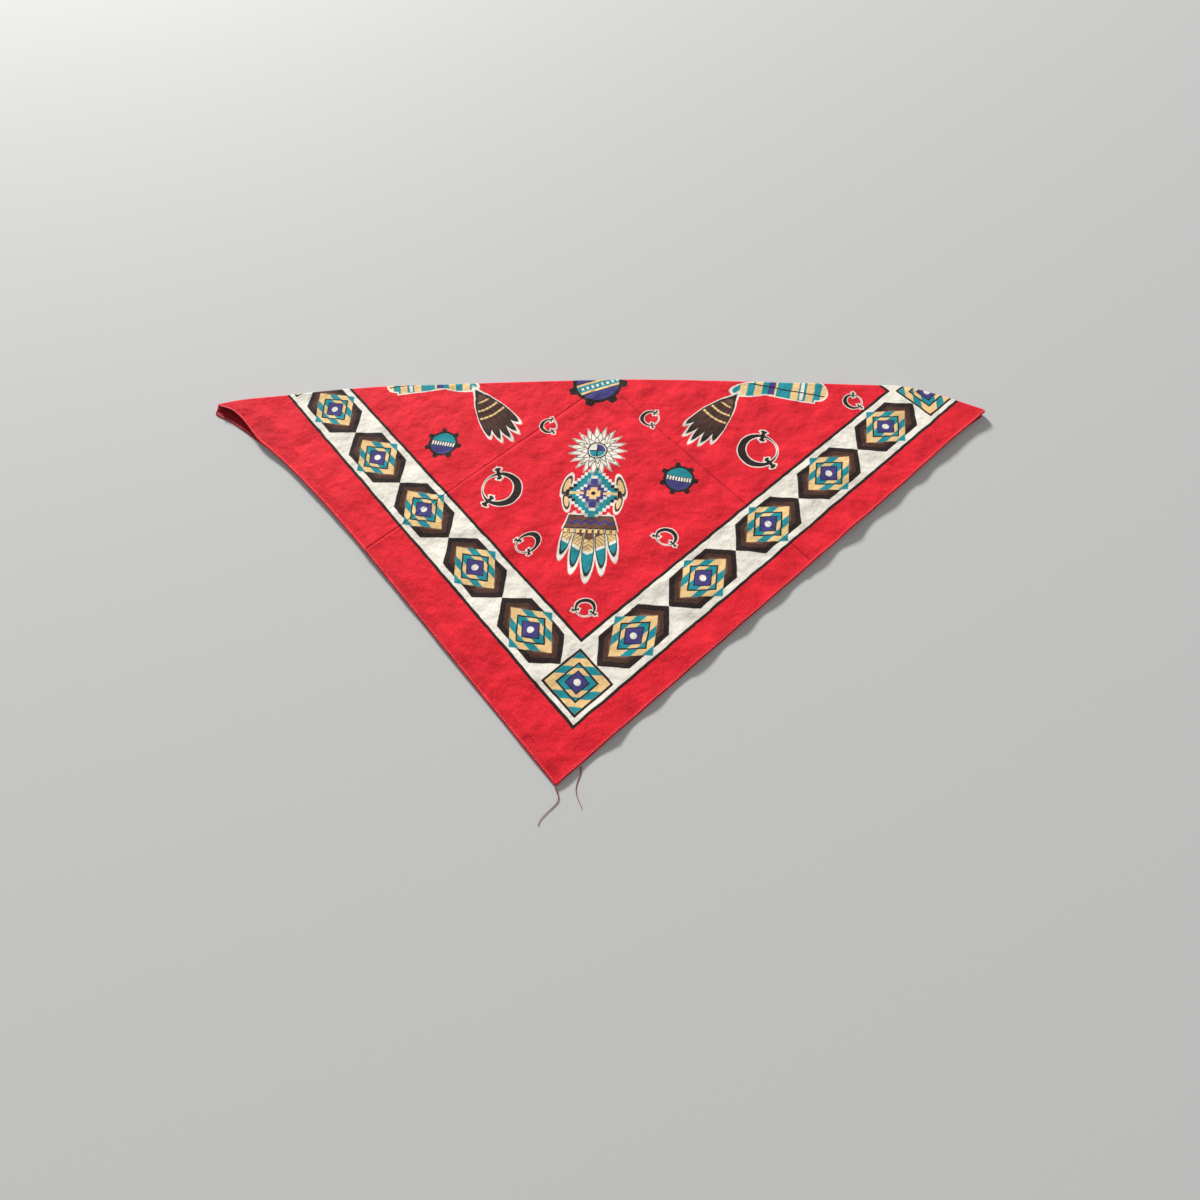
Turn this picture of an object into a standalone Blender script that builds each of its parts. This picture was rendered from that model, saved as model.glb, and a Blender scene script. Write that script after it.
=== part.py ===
"""Folded cotton bandana: one square of printed cloth, laid doubled over its diagonal.

Frame: metres, +Z up, z = 0 the surface it lies on, +X along the fold, -Y towards the loose tips.
The back half lies on the surface. The front half lies over it and turns up and over a line just
below the fold, so its pieces hang on an empty that stands on that line.
"""
import math

import bmesh
import bpy
from mathutils import Vector

MM = 0.001

# The cloth, in millimetres
CLOTH_SIDE = 559.0        # a 22 inch square
CLOTH_THICKNESS = 0.25
HEM_WIDTH = 3.2
HEM_THICKNESS = 0.75      # the edge turned twice: three layers
THREAD_DIAMETER = 0.3
STITCH_SHIFT = 0.0        # from the middle of the hem to the stitch line
STITCH_INSET = HEM_WIDTH / 2 + STITCH_SHIFT
GROOVE_WIDTH = 0.44       # the dent that the stitches pull into the hem
GROOVE_DEPTH = 0.34
GAP = 0.3                 # left between pieces that touch

# How it lies
LOOP_HEIGHT = 6.0         # the soft roll at the fold
TIP_HEIGHT = 1.9          # top of the front half at its loose tip, which lies on the back hem
LEFT_DROOP = 31.0         # how far the left end of the fold sinks towards the tips
LEFT_DROOP_START = -187.0
LEFT_DROOP_LENGTH = 199.0
RIGHT_PULL = 20.0         # how far the right corner is pulled in along both axes
RIGHT_PULL_START = 290.0
FOLD_LOW, FOLD_RISE = -14.0, 23.0
FOLD_RISE_START, FOLD_RISE_END = -320.0, 100.0
FOLD_RIGHT_FALL = 9.0
FOLD_BOW_DEPTH = 120.0    # how far below the fold its bow is still felt

# The line that the front half turns about
HINGE_BELOW_MIDDLE = 60.0
HINGE_RISE = 1.9          # from the front half's face up to the turning axis
TURN_STRIP_WIDTH = 8.0

# Loose thread ends, as points (x, y, z) with the cloth's centre as zero
TAIL_DIAMETER = 0.5
FRONT_TAIL_ROUTE = [
    (0.1, -396.2, 1.35), (0.9, -398.2, 1.25), (2.0, -400.4, 0.95), (2.9, -402.7, 0.6),
    (2.8, -405.0, 0.4), (1.6, -407.4, 0.32), (-0.2, -409.6, 0.3), (-2.2, -411.7, 0.3),
    (-4.3, -413.9, 0.3), (-6.3, -416.2, 0.3), (-8.2, -418.7, 0.3), (-9.6, -421.4, 0.3),
    (-10.5, -424.2, 0.3),
]
BACK_TAIL_ROUTE = [
    (17.6, -379.0, 0.45), (17.9, -381.4, 0.4), (17.8, -383.9, 0.35), (17.2, -386.5, 0.3),
    (16.4, -389.1, 0.3), (15.7, -391.8, 0.3), (15.4, -394.5, 0.3), (15.6, -397.2, 0.3),
    (16.3, -399.9, 0.3), (17.4, -402.5, 0.3), (18.8, -405.0, 0.3), (20.2, -407.5, 0.3),
    (21.3, -409.8, 0.3),
]

EDGE_STEPS = 24           # points along one side of the cloth
FOLD_STEPS = 48           # points along the fold
LOOP_STEPS = 8            # points round the fold's roll
BAND_STEPS = 3

RED = (0.62, 0.022, 0.035)
RED_THREAD = (0.55, 0.03, 0.04)

HALF_DIAGONAL = CLOTH_SIDE / math.sqrt(2)
THREAD_RADIUS = THREAD_DIAMETER / 2
THREAD_SEAT = THREAD_RADIUS + 0.02
PANEL_REACH = HALF_DIAGONAL - (HEM_WIDTH + GAP) * math.sqrt(2)
HEM_REACH = HALF_DIAGONAL - HEM_WIDTH / math.sqrt(2)
HEM_END_CORNER = HEM_WIDTH / math.sqrt(8)    # how far a square hem end stands past its middle
HEM_TOP = HEM_REACH - LOOP_HEIGHT / 2 - GAP - HEM_WIDTH / 2
BAND_REACH = PANEL_REACH - LOOP_HEIGHT / 2
SLOPE = math.atan((LOOP_HEIGHT - TIP_HEIGHT) / HALF_DIAGONAL)


def smoothstep(start, end, value):
    """0 before start, 1 after end, with a soft turn between."""
    share = min(max((value - start) / (end - start), 0.0), 1.0)
    return share * share * (3 - 2 * share)


def fold_bow(along):
    """How far the fold's edge stands off a straight line."""
    rise = FOLD_LOW + FOLD_RISE * smoothstep(FOLD_RISE_START, FOLD_RISE_END, along)
    return rise - FOLD_RIGHT_FALL * smoothstep(RIGHT_PULL_START, HALF_DIAGONAL, along)


def right_pull(along):
    """How far the right corner is drawn in."""
    share = max(along - RIGHT_PULL_START, 0.0) / (HALF_DIAGONAL - RIGHT_PULL_START)
    return RIGHT_PULL * share ** 1.5


def lay(along, depth):
    """Plan position of the cloth's point at a distance along the fold and a depth below it."""
    bow_share = max(1 - depth / FOLD_BOW_DEPTH, 0.0) ** 2
    droop = LEFT_DROOP * (max(LEFT_DROOP_START - along, 0.0) / LEFT_DROOP_LENGTH) ** 2
    pull = right_pull(along)
    return along - pull, fold_bow(along) * bow_share - droop - pull - depth


def fold_edge(along):
    """Plan position of the fold's outermost line, half a roll beyond where the cloth lies flat."""
    x, y = lay(along, LOOP_HEIGHT / 2)
    return x, y + LOOP_HEIGHT / 2


def depth_at(along, height):
    """The depth at which the cloth's column crosses a line across the plan."""
    depth = 0.0
    for _ in range(40):
        depth += lay(along, depth)[1] - height
    return depth


def hem_crossing(side, height, reach):
    """Distance along the fold where a side of the cloth crosses a line across the plan."""
    low, high = 0.0, reach
    for _ in range(50):
        middle = (low + high) / 2
        if lay(side * middle, reach - middle)[1] < height:
            low = middle
        else:
            high = middle
    return side * low


def face_height(across):
    """Height of the front half's face over a plan line."""
    return LOOP_HEIGHT + across * math.tan(SLOPE)


def plan_box():
    """Lowest and highest plan corner of the whole cloth, in its own millimetres."""
    reach = HEM_TOP + HEM_END_CORNER
    edge = [fold_edge(reach * (2 * step / FOLD_STEPS - 1)) for step in range(FOLD_STEPS + 1)]
    edge.append(lay(0.0, HALF_DIAGONAL))
    return (
        (min(x for x, _ in edge), min(y for _, y in edge)),
        (max(x for x, _ in edge), max(y for _, y in edge)),
    )


LOW_CORNER, HIGH_CORNER = plan_box()
CENTRE_X = (LOW_CORNER[0] + HIGH_CORNER[0]) / 2
CENTRE_Y = (LOW_CORNER[1] + HIGH_CORNER[1]) / 2
HINGE_Y = -HINGE_BELOW_MIDDLE
HINGE_Z = face_height(HINGE_Y) + HINGE_RISE
FLAP_TOP = HINGE_Y - TURN_STRIP_WIDTH / 2 - GAP
BAND_END = HINGE_Y + TURN_STRIP_WIDTH / 2 + GAP


def clear_scene():
    """Start from nothing."""
    for item in list(bpy.data.objects):
        bpy.data.objects.remove(item, do_unlink=True)


def new_collection(name):
    """A collection linked to the scene."""
    group = bpy.data.collections.new(name)
    bpy.context.scene.collection.children.link(group)
    return group


def new_material(name, colour, roughness):
    """A plain Principled finish."""
    material = bpy.data.materials.new(name)
    material.use_nodes = True
    shader = material.node_tree.nodes["Principled BSDF"]
    shader.inputs["Base Color"].default_value = (*colour, 1.0)
    shader.inputs["Roughness"].default_value = roughness
    shader.inputs["Metallic"].default_value = 0.0
    material.diffuse_color = (*colour, 1.0)
    return material


def world_point(x, y, z):
    """Cloth millimetres to the object's metres."""
    return Vector(((x - CENTRE_X) * MM, (y - CENTRE_Y) * MM, z * MM))


def place(item, slope, top):
    """Put a flat piece on the front half's slope, or on the surface."""
    if slope:
        item.location = world_point(0.0, 0.0, LOOP_HEIGHT + top)
        item.rotation_euler = (SLOPE, 0.0, 0.0)
    else:
        item.location = world_point(0.0, 0.0, top)


def local_point(x, y):
    """Cloth millimetres to a flat piece's own metres."""
    return x * MM, y * MM


def flat_curve(name, outline, thickness, group, material):
    """A flat outline with a thickness, centred on its own plane."""
    data = bpy.data.curves.new(name, "CURVE")
    data.dimensions = "2D"
    data.fill_mode = "BOTH"
    data.extrude = thickness * MM / 2
    spline = data.splines.new("POLY")
    spline.points.add(len(outline) - 1)
    for point, (x, y) in zip(spline.points, outline):
        point.co = (*local_point(x, y), 0.0, 1.0)
    spline.use_cyclic_u = True
    item = bpy.data.objects.new(name, data)
    data.materials.append(material)
    group.objects.link(item)
    return item


def path_curve(name, path, group, material):
    """A curve through plan points, ready for a section."""
    data = bpy.data.curves.new(name, "CURVE")
    data.dimensions = "3D"
    data.twist_mode = "Z_UP"
    data.use_fill_caps = True
    spline = data.splines.new("POLY")
    spline.points.add(len(path) - 1)
    for point, place_on_path in zip(spline.points, path):
        x, y = local_point(*place_on_path[:2])
        z = place_on_path[2] * MM if len(place_on_path) > 2 else 0.0
        point.co = (x, y, z, 1.0)
    item = bpy.data.objects.new(name, data)
    data.materials.append(material)
    group.objects.link(item)
    return item


def hem_section(cutters):
    """Section of a turned hem, with the dent of the stitch line in both faces."""
    half_width, half_height = HEM_WIDTH / 2, HEM_THICKNESS / 2
    groove, floor = GROOVE_WIDTH / 2, half_height - GROOVE_DEPTH
    top = [
        (half_width, half_height), (groove, half_height), (groove, floor),
        (-groove, floor), (-groove, half_height), (-half_width, half_height),
    ]
    outline = [(x, -y) for x, y in top] + top[::-1]
    data = bpy.data.curves.new("hem_section", "CURVE")
    data.dimensions = "2D"
    data.fill_mode = "NONE"
    spline = data.splines.new("POLY")
    spline.points.add(len(outline) - 1)
    for point, (x, y) in zip(spline.points, outline):
        point.co = (x * MM, y * MM, 0.0, 1.0)
    spline.use_cyclic_u = True
    item = bpy.data.objects.new("hem_section", data)
    item.hide_render = True
    item.display_type = "WIRE"
    cutters.objects.link(item)
    return item


def side_path(side, inset, start, end):
    """Points along one side of the cloth, inset from its edge, from a distance along to another."""
    reach = HALF_DIAGONAL - inset * math.sqrt(2)
    points = []
    for step in range(EDGE_STEPS + 1):
        along = start + (end - start) * step / EDGE_STEPS
        points.append(lay(side * along, reach - along))
    return points


def mesh_object(name, data, group, material):
    """A mesh object in the object's own collection."""
    item = bpy.data.objects.new(name, data)
    data.materials.append(material)
    group.objects.link(item)
    return item


def build_back_panel(group, material):
    """The back half's cloth, flat on the surface, from its hems up to the fold's roll."""
    under_roll = []
    for step in range(FOLD_STEPS + 1):
        x, edge = fold_edge(BAND_REACH * (1 - 2 * step / FOLD_STEPS))
        under_roll.append((x, edge - face_height(edge) / 2 - GAP))
    right_top = abs(hem_crossing(1, under_roll[0][1], PANEL_REACH))
    left_top = abs(hem_crossing(-1, under_roll[-1][1], PANEL_REACH))
    outline = under_roll[1:-1] + side_path(-1, HEM_WIDTH + GAP, left_top, 0.0)
    outline += side_path(1, HEM_WIDTH + GAP, 0.0, right_top)[1:]
    panel = flat_curve("back_panel", outline, CLOTH_THICKNESS, group, material)
    place(panel, False, CLOTH_THICKNESS / 2)
    return panel


def build_front_panel(group, material):
    """The front half's cloth below the line it turns about."""
    left_end = abs(hem_crossing(-1, FLAP_TOP, PANEL_REACH))
    right_end = hem_crossing(1, FLAP_TOP, PANEL_REACH)
    outline = side_path(-1, HEM_WIDTH + GAP, left_end, 0.0)
    outline += side_path(1, HEM_WIDTH + GAP, 0.0, right_end)[1:]
    panel = flat_curve("front_panel", outline, CLOTH_THICKNESS, group, material)
    place(panel, True, -CLOTH_THICKNESS / 2)
    return panel


def build_turn_strip(group, material):
    """The strip of the front half that bends when it is turned over."""
    top, bottom = BAND_END - GAP, FLAP_TOP + GAP
    corners = []
    for side, height in ((-1, bottom), (1, bottom), (1, top), (-1, top)):
        along = hem_crossing(side, height, PANEL_REACH)
        corners.append(lay(along, PANEL_REACH - abs(along)))
    strip = flat_curve("turn_strip", corners, CLOTH_THICKNESS, group, material)
    place(strip, True, -CLOTH_THICKNESS / 2)
    return strip


def band_column(share):
    """One line of the fold band, from the back half's edge round the roll and down the front."""
    along_top = BAND_REACH * (2 * share - 1)
    x, edge = fold_edge(along_top)
    roll = face_height(edge) / 2
    points = []
    for step in range(LOOP_STEPS + 1):
        turn = math.pi * (step / LOOP_STEPS - 0.5)
        points.append((x, edge - roll + roll * math.cos(turn), roll + roll * math.sin(turn)))
    ends = [hem_crossing(side, BAND_END, PANEL_REACH) for side in (-1, 1)]
    along_low = ends[0] + (ends[1] - ends[0]) * share
    depth_low = depth_at(along_low, BAND_END)
    for step in range(1, BAND_STEPS + 1):
        part = step / BAND_STEPS
        along = along_top + (along_low - along_top) * part
        x, y = lay(along, roll + (depth_low - roll) * part)
        points.append((x, y, face_height(y)))
    return points


def build_fold_band(group, material):
    """The fold's soft roll and the part of the front half above the line it turns about."""
    shape = bmesh.new()
    rows = []
    for step in range(FOLD_STEPS + 1):
        rows.append([shape.verts.new(world_point(*point)) for point in band_column(step / FOLD_STEPS)])
    for row, following in zip(rows, rows[1:]):
        for index in range(len(row) - 1):
            shape.faces.new((row[index], row[index + 1], following[index + 1], following[index]))
    data = bpy.data.meshes.new("fold_band")
    shape.to_mesh(data)
    shape.free()
    band = mesh_object("fold_band", data, group, material)
    wall = band.modifiers.new("cloth", "SOLIDIFY")
    wall.thickness = CLOTH_THICKNESS * MM
    wall.offset = -1.0
    return band


def build_hem(name, side, start, end, front, section, group, material):
    """A hem along one side of a half."""
    hem = path_curve(name, side_path(side, HEM_WIDTH / 2, start, end), group, material)
    hem.data.bevel_mode = "OBJECT"
    hem.data.bevel_object = section
    place(hem, front, -HEM_THICKNESS / 2 if front else HEM_THICKNESS / 2)
    return hem


def build_thread(name, side, start, end, front, depth, group, material):
    """One of a stitch line's two threads, seated in the hem at a depth below the half's face."""
    thread = path_curve(name, side_path(side, STITCH_INSET, start, end), group, material)
    thread.data.bevel_depth = THREAD_RADIUS * MM
    thread.data.bevel_resolution = 2
    place(thread, front, -depth if front else depth)
    return thread


def build_sewn_edge(half, word, side, start, end, section, group, cloth, thread_finish):
    """A hem with its needle thread on the face and its bobbin thread on the reverse."""
    front = half == "front"
    pieces = [build_hem(f"{half}_{word}_hem", side, start, end, front, section, group, cloth)]
    seats = {"needle": THREAD_SEAT, "bobbin": HEM_THICKNESS - THREAD_SEAT}
    for kind, depth in seats.items():
        name = f"{half}_{word}_{kind}_thread"
        pieces.append(build_thread(name, side, start, end, front, depth, group, thread_finish))
    return pieces


def smooth_route(route, steps):
    """Points on a smooth curve through a route's own points."""
    points = []
    for index in range(len(route) - 1):
        before, start = Vector(route[max(index - 1, 0)]), Vector(route[index])
        end, after = Vector(route[index + 1]), Vector(route[min(index + 2, len(route) - 1)])
        for step in range(steps):
            t = step / steps
            bend = (end - before) * t + (2 * before - 5 * start + 4 * end - after) * t ** 2
            points.append(start + (bend + (3 * start - before - 3 * end + after) * t ** 3) / 2)
    points.append(Vector(route[-1]))
    return points


def build_tail(name, route, group, material):
    """A loose end of thread lying on the surface."""
    tail = path_curve(name, [tuple(point) for point in smooth_route(route, 2)], group, material)
    tail.data.bevel_depth = TAIL_DIAMETER / 2 * MM
    tail.data.bevel_resolution = 2
    tail.location = world_point(0.0, 0.0, 0.0)
    return tail


def hang_on_hinge(pieces):
    """Parent the turning pieces to an empty that stands on their axis."""
    hinge = bpy.data.objects.new("front_half_hinge", None)
    hinge.location = world_point(CENTRE_X, HINGE_Y, HINGE_Z)
    bpy.context.scene.collection.objects.link(hinge)
    bpy.context.view_layer.update()
    for piece in pieces:
        piece.parent = hinge
        piece.matrix_parent_inverse = hinge.matrix_world.inverted()


def main():
    """Build the folded bandana."""
    clear_scene()
    group, cutters = new_collection("folded_bandana"), new_collection("sections")
    cloth = new_material("printed_cotton", RED, 0.9)
    thread = new_material("sewing_thread", RED_THREAD, 0.7)
    section = hem_section(cutters)

    build_back_panel(group, cloth)
    build_fold_band(group, cloth)
    sides = (("left", -1, -HEM_END_CORNER), ("right", 1, HEM_END_CORNER + GAP / math.sqrt(2)))
    turning = [build_front_panel(group, cloth)]
    for word, side, tip in sides:
        build_sewn_edge("back", word, side, tip, HEM_TOP, section, group, cloth, thread)
        low = abs(hem_crossing(side, BAND_END, HEM_REACH)) + HEM_WIDTH / 2
        build_hem(f"{word}_hem_end", side, low, HEM_TOP, True, section, group, cloth)
        top = abs(hem_crossing(side, FLAP_TOP, HEM_REACH)) - HEM_WIDTH / 2
        turning += build_sewn_edge("front", word, side, tip, top, section, group, cloth, thread)
    build_tail("back_thread_tail", BACK_TAIL_ROUTE, group, thread)
    turning.append(build_tail("front_thread_tail", FRONT_TAIL_ROUTE, group, thread))
    build_turn_strip(group, cloth)
    hang_on_hinge(turning)


main()
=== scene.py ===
"""A printed cotton bandana, folded on its diagonal and laid on a pale floor.

The cloth is a front sheet, which holds the soft roll of the fold and the half that turns over, and a
back sheet under it. Four turned hems, their stitches and two loose thread ends go on the sheets.
Sizes are in millimetres on the cloth, whose zero is its own centre, and world() makes them metres.
"""

import logging
import math
from dataclasses import dataclass
from enum import Enum
from functools import cached_property
from typing import Callable, Iterable, Sequence, Union

import bmesh
import bpy
from mathutils import Matrix, Vector, noise


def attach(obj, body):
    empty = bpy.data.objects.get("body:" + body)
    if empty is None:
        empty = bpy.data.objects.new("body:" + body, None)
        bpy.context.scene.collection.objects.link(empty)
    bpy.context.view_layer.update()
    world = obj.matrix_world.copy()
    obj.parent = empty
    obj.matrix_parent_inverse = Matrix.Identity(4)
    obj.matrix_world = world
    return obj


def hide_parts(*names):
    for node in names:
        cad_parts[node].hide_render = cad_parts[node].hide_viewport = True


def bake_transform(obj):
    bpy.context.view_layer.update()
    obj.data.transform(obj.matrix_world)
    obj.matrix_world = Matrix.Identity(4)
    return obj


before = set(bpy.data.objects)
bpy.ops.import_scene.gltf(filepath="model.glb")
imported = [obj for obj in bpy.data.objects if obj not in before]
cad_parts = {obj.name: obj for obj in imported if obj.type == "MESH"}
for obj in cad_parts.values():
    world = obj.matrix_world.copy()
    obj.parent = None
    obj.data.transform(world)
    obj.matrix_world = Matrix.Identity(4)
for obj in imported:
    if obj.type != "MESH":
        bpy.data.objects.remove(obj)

LOG = logging.getLogger("bandana")
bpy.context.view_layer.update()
MM = 0.001

Place = tuple[float, float]
Point = tuple[float, float, float]
Colour = tuple[float, float, float]
Form, Piece, Material = bmesh.types.BMesh, bpy.types.Object, bpy.types.Material
Tree, Node, Socket = bpy.types.NodeTree, bpy.types.Node, bpy.types.NodeSocket


def smoothstep(start: float, end: float, value: float) -> float:
    """Return 0 before start, 1 after end, and a smooth rise between them."""
    share = min(max((value - start) / (end - start), 0.0), 1.0)
    return share * share * (3 - 2 * share)


# ------------------------ how the cloth lies


@dataclass(frozen=True)
class Crease:
    """A pressed or dented line in the cloth: its two ends, how high it stands and how wide it is."""

    start: Place
    end: Place
    height: float
    width: float

    def lift(self, x: float, y: float) -> float:
        """Return how far this line lifts the cloth at x, y."""
        (ax, ay), (bx, by) = self.start, self.end
        dx, dy = bx - ax, by - ay
        long = math.hypot(dx, dy)
        share = ((x - ax) * dx + (y - ay) * dy) / long**2
        off = ((x - ax) * dy - (y - ay) * dx) / long
        ends = smoothstep(-0.12, 0.1, share) * (1 - smoothstep(0.9, 1.12, share))
        return self.height * ends * math.exp(-abs(off) / self.width)


@dataclass(frozen=True)
class ClothLay:
    """The shape of the folded square, the same as the solid model's, with the creases on top."""

    side: float = 559.0
    thickness: float = 0.25
    hem_width: float = 3.2
    hem_thickness: float = 0.75
    stitch_inset: float = 1.6
    loop_height: float = 6.0
    tip_height: float = 1.9
    fold_low: float = -14.0
    fold_rise: float = 23.0
    fold_right_fall: float = 9.0
    bow_depth: float = 120.0
    left_droop: float = 31.0
    right_pull_size: float = 20.0
    offset_x: float = 9.153
    offset_y: float = 193.3585
    print_shift: float = 9.0
    blunt: float = 5.0
    droop_start: float = -187.0
    droop_length: float = 199.0
    pull_start: float = 290.0
    roll_start: float = -325.0
    roll_end: float = -395.0
    roll_in: float = 9.0
    roll_up: float = 4.0
    back_in: float = 4.0
    back_base: float = 0.45
    edge_wave: float = 7.4
    creases: tuple[Crease, ...] = tuple(Crease(*row) for row in (
        ((-205, -212), (10, -8), 0.9, 3.0), ((2, -14), (205, -208), 1.0, 3.0),
        ((-205, -150), (-118, -200), -0.9, 6.0), ((-318, -52), (-262, -78), -0.9, 9.0),
        ((-240, -128), (-190, -150), 0.6, 7.0), ((140, -165), (195, -225), -1.0, 7.0),
        ((196, -112), (246, -160), 0.9, 6.0), ((250, -60), (305, -108), -0.8, 7.0),
        ((-5, -330), (62, -362), 0.9, 6.0), ((-70, -318), (-30, -350), -1.0, 7.0),
        ((-150, -225), (-105, -268), -0.6, 8.0), ((90, -205), (128, -262), 0.8, 6.0),
        ((60, -262), (100, -300), -0.7, 6.0),
    ))

    @property
    def half_diagonal(self) -> float:
        """Return half of the square's diagonal."""
        return self.side / math.sqrt(2)

    @property
    def half_loop(self) -> float:
        """Return half of the fold's height, which the roll also stands out."""
        return self.loop_height / 2

    def fold_bow(self, along: float) -> float:
        """Return how far the fold is bowed from a straight line."""
        rise = self.fold_rise * smoothstep(-320, 100, along)
        return self.fold_low + rise - self.fold_right_fall * smoothstep(self.pull_start, self.half_diagonal, along)

    def place(self, along: float, depth: float) -> Place:
        """Return where a point of the cloth lies in plan.

        Args:
            along: distance along the fold from the square's middle.
            depth: distance from the fold towards the tip.

        Returns:
            x and y on the cloth's own axes.
        """
        share = max(1 - depth / self.bow_depth, 0.0) ** 2
        droop = self.left_droop * (max(self.droop_start - along, 0.0) / self.droop_length) ** 2
        pulled = max(along - self.pull_start, 0.0) / (self.half_diagonal - self.pull_start)
        pull = self.right_pull_size * pulled**1.5
        return along - pull, self.fold_bow(along) * share - droop - pull - depth

    def rolled_end(self, along: float) -> Place:
        """Return how far the open roll draws the left end in and up."""
        near = smoothstep(self.roll_start, self.roll_end, along)
        return self.roll_in * near, self.roll_up * near

    def face_height(self, y: float) -> float:
        """Return the height of the front half's face at y, without creases."""
        return self.loop_height + y * (self.loop_height - self.tip_height) / self.half_diagonal

    def relief(self, x: float, y: float) -> float:
        """Return how far creases and waves lift the front half at x, y."""
        wide, fine, folds, sway = (
            noise.noise(Vector((x / size, y / size, layer)))
            for size, layer in ((62, 3.1), (23, 8.7), (38, 12.3), (50, 1.0))
        )
        lift = sum(crease.lift(x, y) for crease in self.creases)
        lift += 0.90 * wide + 0.42 * fine + 0.45 * (0.35 - abs(folds))
        from_right = (self.half_diagonal - x + y) / math.sqrt(2) - 8
        wave = math.sin((x + y) / math.sqrt(2) / self.edge_wave + 1.5 * sway)
        lift += 0.70 * wave * math.exp(-max(from_right, 0.0) / 24)
        from_left = (self.half_diagonal + x + y) / math.sqrt(2)
        lift += 0.25 * math.sin((x - y) / 13.0) * math.exp(-max(from_left, 0.0) / 18)
        off_fold = smoothstep(12, -24, y - self.fold_bow(x))
        open_roll = 2.6 * smoothstep(-300, -378, x)
        lift = lift * (0.35 + 0.65 * off_fold) + open_roll
        soft = 0.2
        low = -0.35 - 0.6 * smoothstep(-395, -250, y)
        return lift if lift > low + soft else low + soft * math.exp((lift - low) / soft - 1)

    def world(self, x: float, y: float, z: float) -> Vector:
        """Return a point of the cloth's axes in metres in the shared frame."""
        return Vector((x + self.offset_x, y + self.offset_y, z)) * MM

    def front(self, along: float, depth: float) -> tuple[Vector, Place]:
        """Return the printed face of the front sheet.

        Args:
            along: distance along the fold.
            depth: distance below the fold; from -half_loop to half_loop it runs round the roll.

        Returns:
            The point in millimetres on the cloth's axes, and its place on the print.
        """
        half = self.half_loop
        if depth >= half:
            narrow = 1 - 0.52 * smoothstep(-322, -382, along)
            x, y = self.place(along, half + (depth - half) * narrow)
            drawn_in, drawn_up = self.rolled_end(along)
            fade = math.exp(-(depth - half) / 40)
            x, y = x + drawn_in * fade, y + drawn_up * fade
            return Vector((x, y, self.face_height(y) + self.relief(x, y))), (x - self.print_shift, y)
        x, y = self.place(along, half)
        turn = math.pi / 2 * (1 - depth / half)
        share = (1 + math.cos(turn)) / 2
        drawn_in, drawn_up = self.rolled_end(along)
        top = self.face_height(y + drawn_up) + self.relief(x + drawn_in, y + drawn_up)
        back_in = drawn_in * self.back_in / self.roll_in
        x, y = x + drawn_in * share + back_in * (1 - share), y + drawn_up * share
        out = half * (1 + 0.35 * smoothstep(-320, -390, along))
        height = self.back_base + (top - self.back_base) * share
        point = Vector((x, y + out * math.sin(turn), height))
        return point, (x - self.print_shift, y + half * turn)

    def back(self, along: float, depth: float) -> tuple[Vector, Place]:
        """Return the printed face of the back sheet, which looks down.

        Args:
            along: distance along the fold.
            depth: distance from the fold towards the tip.

        Returns:
            The point in millimetres on the cloth's axes, and its place on the print.
        """
        half = self.half_loop
        depth = max(depth, half)
        x, y = self.place(along, half)
        turned = y + math.pi * half + (depth - half)
        x, y = self.place(along, depth)
        share = smoothstep(half, half + 30, depth)
        y += 1.6 * share - 1.2 * smoothstep(-280, -350, along) * smoothstep(half, half + 6, depth)
        x += self.back_in * smoothstep(self.roll_start, self.roll_end, along)
        z = self.back_base + 0.22 * (1 + noise.noise(Vector((x / 30, y / 30, 5.5)))) * share
        return Vector((x, y, z)), (x - self.print_shift, turned)


LAY = ClothLay()
Surface = Callable[[float, float], tuple[Vector, Place]]


class Half(Enum):
    """The two halves of the folded cloth."""

    FRONT = "front"
    BACK = "back"


class Side(Enum):
    """The two sloping edges of each half, with the sign of the fold's axis."""

    LEFT = -1
    RIGHT = 1


@dataclass(frozen=True)
class Turn:
    """The line that the front half turns about, taken from the model's own joint box."""

    reach: float = 4.0
    line: float = 133.3585
    height: float = 5.0

    def carry(self, piece: Piece, half: Half) -> None:
        """Tie a piece to the back half, or bake a front piece's placing into its mesh."""
        if half is Half.BACK:
            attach(piece, "back_half")
            return
        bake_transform(piece)


TURN = Turn()


# ------------------------ node building

Value = Union["Term", float]
Fed = Union["Term", Socket, float, Sequence[float]]


def feed(node: Node, fed: dict[Union[int, str], Fed]) -> None:
    """Give a node's sockets numbers, places, colours or what other nodes make."""
    for key, value in fed.items():
        socket = node.inputs[key]
        given = value.source if isinstance(value, Term) else value
        if isinstance(given, Socket):
            node.id_data.links.new(given, socket)
        elif isinstance(given, (int, float)):
            socket.default_value = given
        else:
            socket.default_value = (*given, 1)[: len(socket.default_value)]


def add_node(tree: Tree, kind: str, fed: dict[Union[int, str], Fed], operation: str = "") -> Node:
    """Add a node to a material.

    Args:
        tree: the material's node tree.
        kind: the node's type, without its prefix.
        fed: what its sockets are given.
        operation: what a node with a choice of sums does.

    Returns:
        The node.
    """
    node = tree.nodes.new(f"ShaderNode{kind}")
    if operation:
        node.operation = operation
    feed(node, fed)
    return node


def new_material(name: str) -> tuple[Material, Node]:
    """Return a new material and its shader."""
    material = bpy.data.materials.new(name)
    material.use_nodes = True
    return material, material.node_tree.nodes["Principled BSDF"]


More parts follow.
